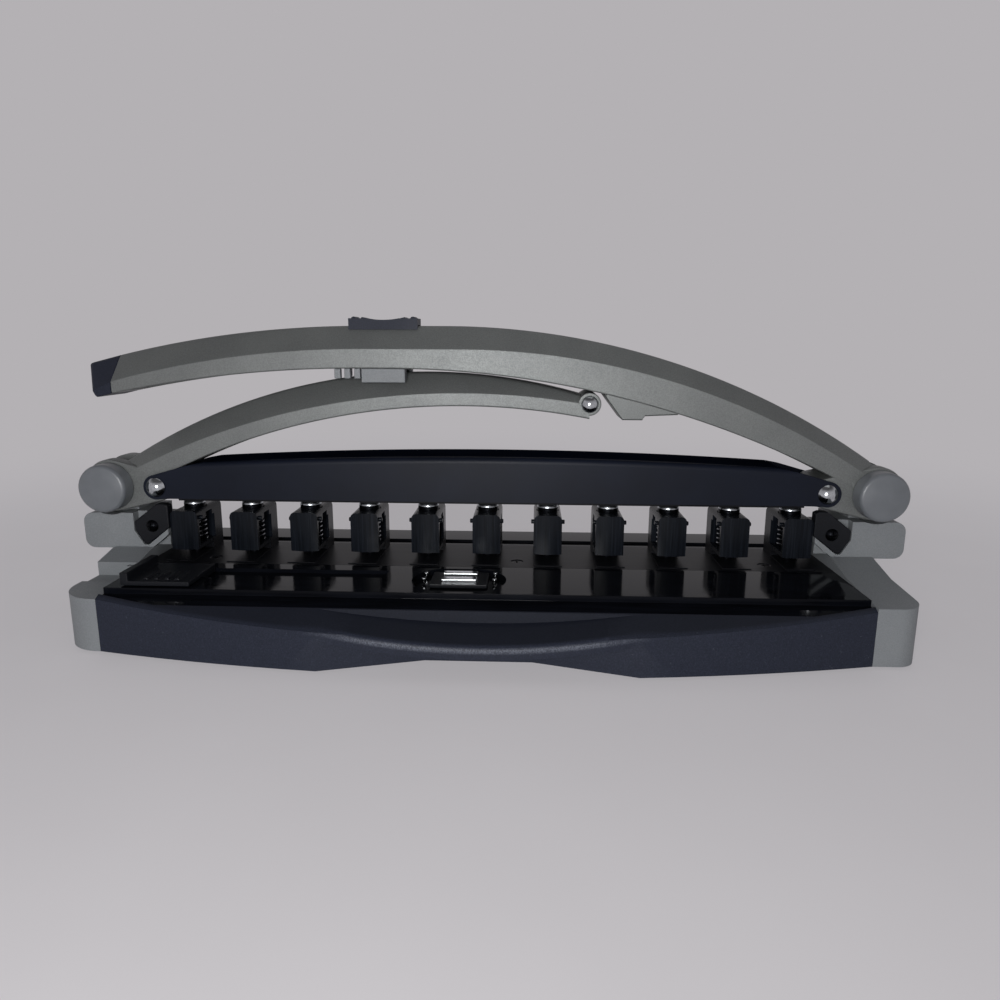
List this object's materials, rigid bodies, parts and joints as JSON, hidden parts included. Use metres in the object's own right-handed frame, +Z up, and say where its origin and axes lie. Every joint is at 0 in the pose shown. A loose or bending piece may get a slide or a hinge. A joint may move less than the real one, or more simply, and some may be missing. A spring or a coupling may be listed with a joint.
{
  "type": "disc binding punch",
  "caption": "Desktop punch with a long bowed lever handle, a crossing rear arm and a channel-shaped pressure bar that drives a row of sprung cutters into a die over a bowed base.",
  "frame": {"origin": "on the table, under the middle of the overall box", "axes": "+X to the right along the row of cutters, +Y away from the operator, +Z up"},
  "size_m": [0.338, 0.1155, 0.1227],
  "materials": {
    "navy_plastic": "fine matte grain",
    "grey_plastic": "fine grain with a faint sparkle",
    "grey_gloss": "smooth, slightly waxy gloss",
    "black_gloss": "polished, mirrors what stands on it",
    "black_plastic": "satin moulding",
    "head_black": "black satin coat",
    "die_black": "black oxide",
    "navy_powder_coat": "satin powder coat",
    "steel": "bright steel",
    "black_steel": "dark oxide with a bright top",
    "polished_steel": "mirror polish",
    "spring_steel": "drawn wire",
    "foot_rubber": "matte"
  },
  "bodies": {
    "base": {"base_shell": "navy_plastic", "left_side_housing": "grey_plastic", "right_side_housing": "grey_plastic", "deck_plate": "black_gloss", "rear_cover": "black_gloss", "bottom_cover": "black_plastic", "bottom_screws": "steel", "rubber_feet": "foot_rubber", "die_plate": "die_black", "die_inserts": "die_black", "die_screws": "black_steel", "throat_spacers": "die_black", "head_screws": "black_steel", "punch_head_01": "head_black", "punch_head_02": "head_black", "punch_head_03": "head_black", "punch_head_04": "head_black", "punch_head_05": "head_black", "punch_head_06": "head_black", "punch_head_07": "head_black", "punch_head_08": "head_black", "punch_head_09": "head_black", "punch_head_10": "head_black", "punch_head_11": "head_black", "return_springs": "spring_steel", "left_end_bracket": "black_plastic", "right_end_bracket": "black_plastic", "bracket_screws": "black_steel", "left_pivot_shaft": "steel", "right_pivot_shaft": "steel", "left_pivot_caps": "grey_gloss", "right_pivot_caps": "grey_gloss"},
    "front_handle": {"front_handle": "grey_plastic", "handle_tip": "navy_plastic", "handle_bumper": "grey_plastic"},
    "lock": {"lock_button": "navy_plastic", "lock_hook": "steel"},
    "rear_arm": {"rear_arm": "grey_plastic", "roller_pin": "polished_steel", "left_link_pin": "polished_steel"},
    "pressure_bar": {"pressure_bar": "navy_powder_coat", "presser_strip": "die_black", "right_link_pin": "polished_steel"},
    "edge_guide": {"edge_guide": "black_plastic"},
    "depth_slider": {"depth_slider": "black_plastic"},
    "chip_tray": {"chip_tray": "black_plastic"},
    "punch_pin_01": {"punch_pin_01": "black_steel"},
    "punch_pin_02": {"punch_pin_02": "black_steel"},
    "punch_pin_03": {"punch_pin_03": "black_steel"},
    "punch_pin_04": {"punch_pin_04": "black_steel"},
    "punch_pin_05": {"punch_pin_05": "black_steel"},
    "punch_pin_06": {"punch_pin_06": "black_steel"},
    "punch_pin_07": {"punch_pin_07": "black_steel"},
    "punch_pin_08": {"punch_pin_08": "black_steel"},
    "punch_pin_09": {"punch_pin_09": "black_steel"},
    "punch_pin_10": {"punch_pin_10": "black_steel"},
    "punch_pin_11": {"punch_pin_11": "black_steel"}
  },
  "joints": [
    {"name": "handle_lift", "type": "hinge", "parent": "base", "child": "front_handle", "pos_m": [0.157, 0.01675, 0.0535], "axis": [0, 1, 0], "range_deg": [0, 15], "deforming": ["return_springs"]},
    {"name": "rear_arm_lift", "type": "hinge", "parent": "base", "child": "rear_arm", "pos_m": [-0.157, 0.01675, 0.0535], "axis": [0, -1, 0], "range_deg": [0, 10.4]},
    {"name": "bar_link", "type": "hinge", "parent": "front_handle", "child": "pressure_bar", "pos_m": [0.137, 0.01675, 0.0535], "axis": [0, 1, 0], "range_deg": [-15.4, 0]},
    {"name": "lock_slide", "type": "slide", "parent": "front_handle", "child": "lock", "axis": [-1, 0, 0], "range_m": [0, 0.004]},
    {"name": "edge_guide_slide", "type": "slide", "parent": "base", "child": "edge_guide", "axis": [1, 0, 0], "range_m": [0, 0.06]},
    {"name": "depth_slider_slide", "type": "slide", "parent": "base", "child": "depth_slider", "axis": [0, -1, 0], "range_m": [0, 0.005]},
    {"name": "chip_tray_slide", "type": "slide", "parent": "base", "child": "chip_tray", "axis": [0, 1, 0], "range_m": [0, 0.045]},
    {"name": "punch_pin_01_slide", "type": "slide", "parent": "base", "child": "punch_pin_01", "axis": [0, 0, 1], "range_m": [0, 0.0055]},
    {"name": "punch_pin_02_slide", "type": "slide", "parent": "base", "child": "punch_pin_02", "axis": [0, 0, 1], "range_m": [0, 0.0055]},
    {"name": "punch_pin_03_slide", "type": "slide", "parent": "base", "child": "punch_pin_03", "axis": [0, 0, 1], "range_m": [0, 0.0055]},
    {"name": "punch_pin_04_slide", "type": "slide", "parent": "base", "child": "punch_pin_04", "axis": [0, 0, 1], "range_m": [0, 0.0055]},
    {"name": "punch_pin_05_slide", "type": "slide", "parent": "base", "child": "punch_pin_05", "axis": [0, 0, 1], "range_m": [0, 0.0055]},
    {"name": "punch_pin_06_slide", "type": "slide", "parent": "base", "child": "punch_pin_06", "axis": [0, 0, 1], "range_m": [0, 0.0055]},
    {"name": "punch_pin_07_slide", "type": "slide", "parent": "base", "child": "punch_pin_07", "axis": [0, 0, 1], "range_m": [0, 0.0055]},
    {"name": "punch_pin_08_slide", "type": "slide", "parent": "base", "child": "punch_pin_08", "axis": [0, 0, 1], "range_m": [0, 0.0055]},
    {"name": "punch_pin_09_slide", "type": "slide", "parent": "base", "child": "punch_pin_09", "axis": [0, 0, 1], "range_m": [0, 0.0055]},
    {"name": "punch_pin_10_slide", "type": "slide", "parent": "base", "child": "punch_pin_10", "axis": [0, 0, 1], "range_m": [0, 0.0055]},
    {"name": "punch_pin_11_slide", "type": "slide", "parent": "base", "child": "punch_pin_11", "axis": [0, 0, 1], "range_m": [0, 0.0055]}
  ],
  "couplings": [
    {"joint": "rear_arm_lift", "follows": "handle_lift", "ratio": 0.69},
    {"joint": "bar_link", "follows": "handle_lift", "ratio": -1.0226},
    {"joint": "punch_pin_01_slide", "follows": "handle_lift", "m_per_rad": 0.013816},
    {"joint": "punch_pin_02_slide", "follows": "handle_lift", "m_per_rad": 0.014382},
    {"joint": "punch_pin_03_slide", "follows": "handle_lift", "m_per_rad": 0.014948},
    {"joint": "punch_pin_04_slide", "follows": "handle_lift", "m_per_rad": 0.015514},
    {"joint": "punch_pin_05_slide", "follows": "handle_lift", "m_per_rad": 0.01608},
    {"joint": "punch_pin_06_slide", "follows": "handle_lift", "m_per_rad": 0.016646},
    {"joint": "punch_pin_07_slide", "follows": "handle_lift", "m_per_rad": 0.017213},
    {"joint": "punch_pin_08_slide", "follows": "handle_lift", "m_per_rad": 0.017779},
    {"joint": "punch_pin_09_slide", "follows": "handle_lift", "m_per_rad": 0.018345},
    {"joint": "punch_pin_10_slide", "follows": "handle_lift", "m_per_rad": 0.018911},
    {"joint": "punch_pin_11_slide", "follows": "handle_lift", "m_per_rad": 0.019477}
  ]
}
